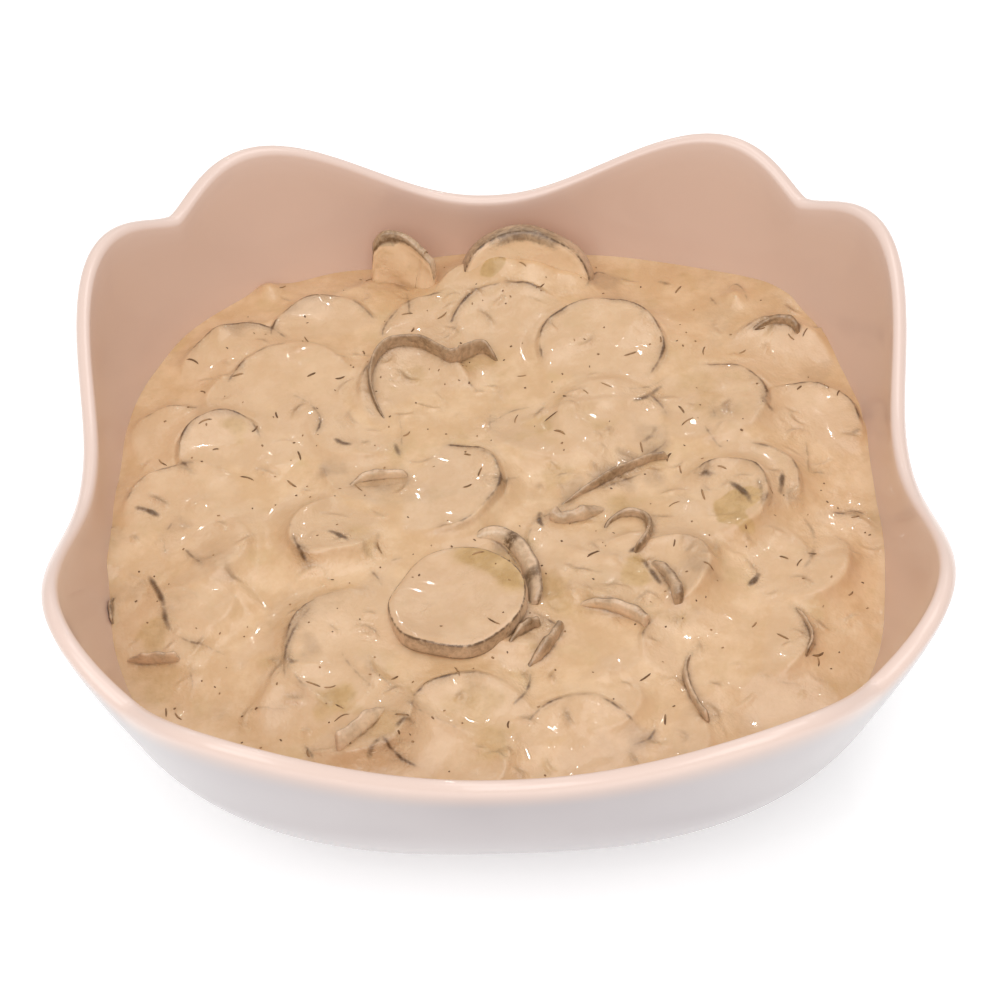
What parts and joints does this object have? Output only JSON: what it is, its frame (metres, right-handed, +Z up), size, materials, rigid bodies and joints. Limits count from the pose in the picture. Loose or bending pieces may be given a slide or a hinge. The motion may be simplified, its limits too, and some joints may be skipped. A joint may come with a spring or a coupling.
{
  "type": "bowl of cucumber salad",
  "caption": "Square ceramic bowl with a wavy eight-lobed rim, filled with sliced cucumber in a thick cream and dill dressing.",
  "frame": {"origin": "centre of the ring that the bowl stands on, on the table", "axes": "+Z up, -Y towards the side that faces the camera, +X to the camera's right"},
  "size_m": [0.241, 0.241, 0.0918],
  "materials": {
    "glazed_ceramic": "gloss",
    "cucumber": "wet cucumber, satin",
    "cream": "wet cream, glossy"
  },
  "bodies": {
    "root": {"bowl": "glazed_ceramic", "cucumber_slices": "cucumber", "dill_cream": "cream"}
  },
  "joints": []
}
